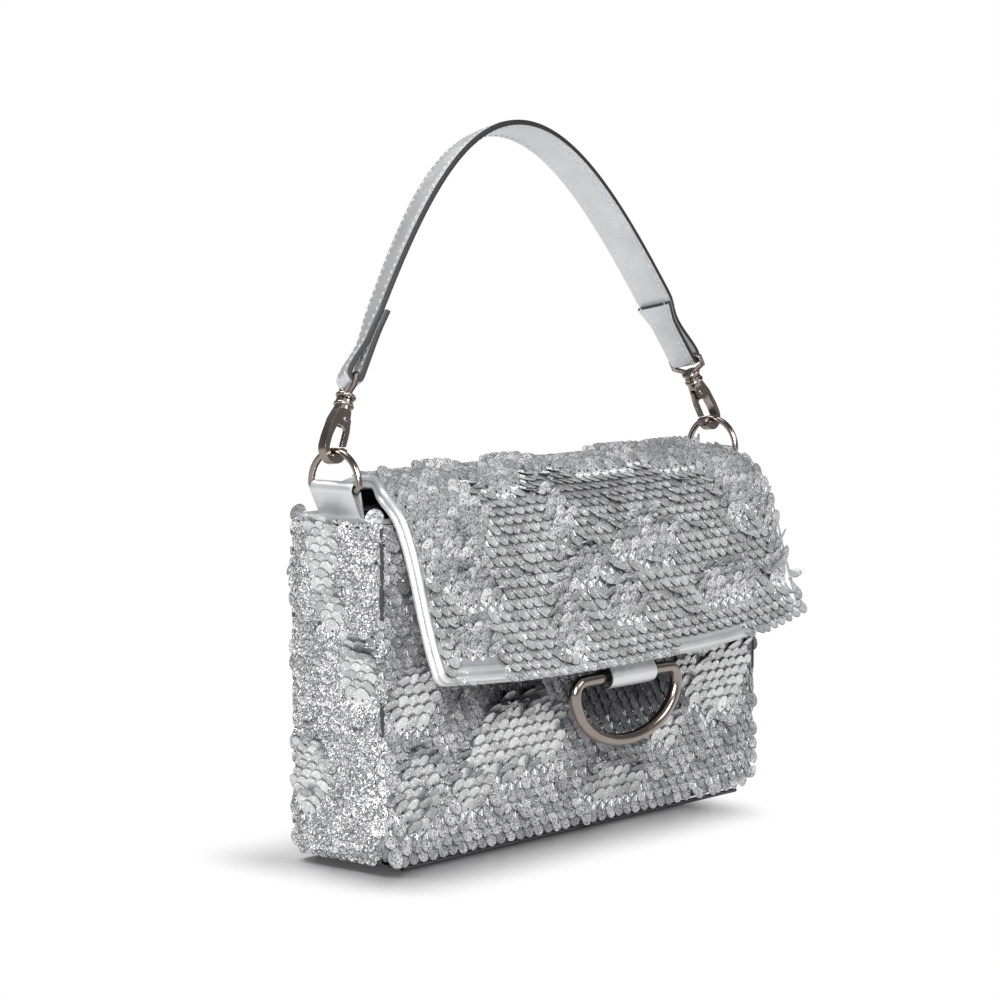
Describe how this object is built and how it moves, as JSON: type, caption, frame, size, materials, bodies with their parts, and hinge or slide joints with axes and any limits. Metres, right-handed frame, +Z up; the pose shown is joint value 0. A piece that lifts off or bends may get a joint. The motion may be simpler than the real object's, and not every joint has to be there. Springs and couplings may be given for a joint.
{
  "type": "evening bag",
  "caption": "Small upright evening bag of silver sequinned cloth with a front flap, a pull ring under its edge and a short handle clipped to D-rings.",
  "frame": {"origin": "centre of the base's underside, on the floor", "axes": "+Z up, front face and flap towards -Y, width along X"},
  "size_m": [0.2284, 0.0749, 0.2659],
  "materials": {
    "sequin_cloth": "cloth covered in silver sequins",
    "silver_leather": "silver foil leather, black painted edges",
    "black_lining": "matte",
    "stiffener": "grey stiffening board",
    "dark_nickel": "satin dark nickel plate",
    "spring_steel": "plain wire"
  },
  "bodies": {
    "body": {"front_panel": "sequin_cloth", "back_panel": "sequin_cloth", "gusset_strip": "sequin_cloth", "mouth_binding": "silver_leather", "body_lining": "black_lining", "front_board": "stiffener", "back_board": "stiffener", "base_board": "stiffener", "panel_magnet": "dark_nickel", "left_ring_tab": "silver_leather", "right_ring_tab": "silver_leather", "flap_back_band": "sequin_cloth"},
    "flap": {"flap_cloth": "sequin_cloth", "flap_board": "stiffener", "flap_lining": "black_lining", "flap_piping": "silver_leather", "flap_magnet": "dark_nickel", "pull_loop": "silver_leather"},
    "pull_ring": {"pull_ring": "dark_nickel"},
    "handle": {"strap_outer": "silver_leather", "strap_lining": "silver_leather", "left_swivel_eye": "dark_nickel", "right_swivel_eye": "dark_nickel"},
    "left_hook": {"left_hook": "dark_nickel", "left_gate_pin": "dark_nickel", "left_gate_spring": "spring_steel"},
    "left_gate": {"left_gate": "dark_nickel"},
    "right_hook": {"right_hook": "dark_nickel", "right_gate_pin": "dark_nickel", "right_gate_spring": "spring_steel"},
    "right_gate": {"right_gate": "dark_nickel"},
    "left_ring": {"left_d_ring": "dark_nickel"},
    "right_ring": {"right_d_ring": "dark_nickel"}
  },
  "joints": [
    {"name": "flap_hinge", "type": "hinge", "parent": "body", "child": "flap", "pos_m": [0, 0.01545, 0.13539], "axis": [-1, 0, 0], "range_deg": [0, 90]},
    {"name": "handle_swing", "type": "hinge", "parent": "body", "child": "handle", "pos_m": [0, 0, 0.1368], "axis": [-1, 0, 0], "range_deg": [0, 55]},
    {"name": "pull_ring_swing", "type": "hinge", "parent": "flap", "child": "pull_ring", "pos_m": [0, -0.04355, 0.06161], "axis": [-1, 0, 0], "range_deg": [-20, 85]},
    {"name": "left_hook_swivel", "type": "hinge", "parent": "handle", "child": "left_hook", "pos_m": [-0.1092, 0.00141, 0.14831], "axis": [0.454, 0.1086, 0.8844], "range_deg": [-15, 15]},
    {"name": "left_gate_swing", "type": "hinge", "parent": "left_hook", "child": "left_gate", "pos_m": [-0.10259, 0.00273, 0.15901], "axis": [0, 0.9925, -0.1219], "range_deg": [0, 22], "stiffness_Nm_per_rad": 0.01, "springref_deg": -17.19},
    {"name": "left_ring_rock", "type": "hinge", "parent": "body", "child": "left_ring", "pos_m": [-0.1092, 0, 0.1351], "axis": [0, 1, 0], "range_deg": [-2.5, 2.5]},
    {"name": "right_hook_swivel", "type": "hinge", "parent": "handle", "child": "right_hook", "pos_m": [0.1092, 0.00141, 0.14831], "axis": [-0.454, 0.1086, 0.8844], "range_deg": [-15, 15]},
    {"name": "right_gate_swing", "type": "hinge", "parent": "right_hook", "child": "right_gate", "pos_m": [0.10259, 0.00273, 0.15901], "axis": [0, -0.9925, 0.1219], "range_deg": [0, 22], "stiffness_Nm_per_rad": 0.01, "springref_deg": -17.19},
    {"name": "right_ring_rock", "type": "hinge", "parent": "body", "child": "right_ring", "pos_m": [0.1092, 0, 0.1351], "axis": [0, 1, 0], "range_deg": [-2.5, 2.5]}
  ],
  "couplings": [
    {"joint": "handle_swing", "follows": "flap_hinge", "ratio": 0.61}
  ]
}
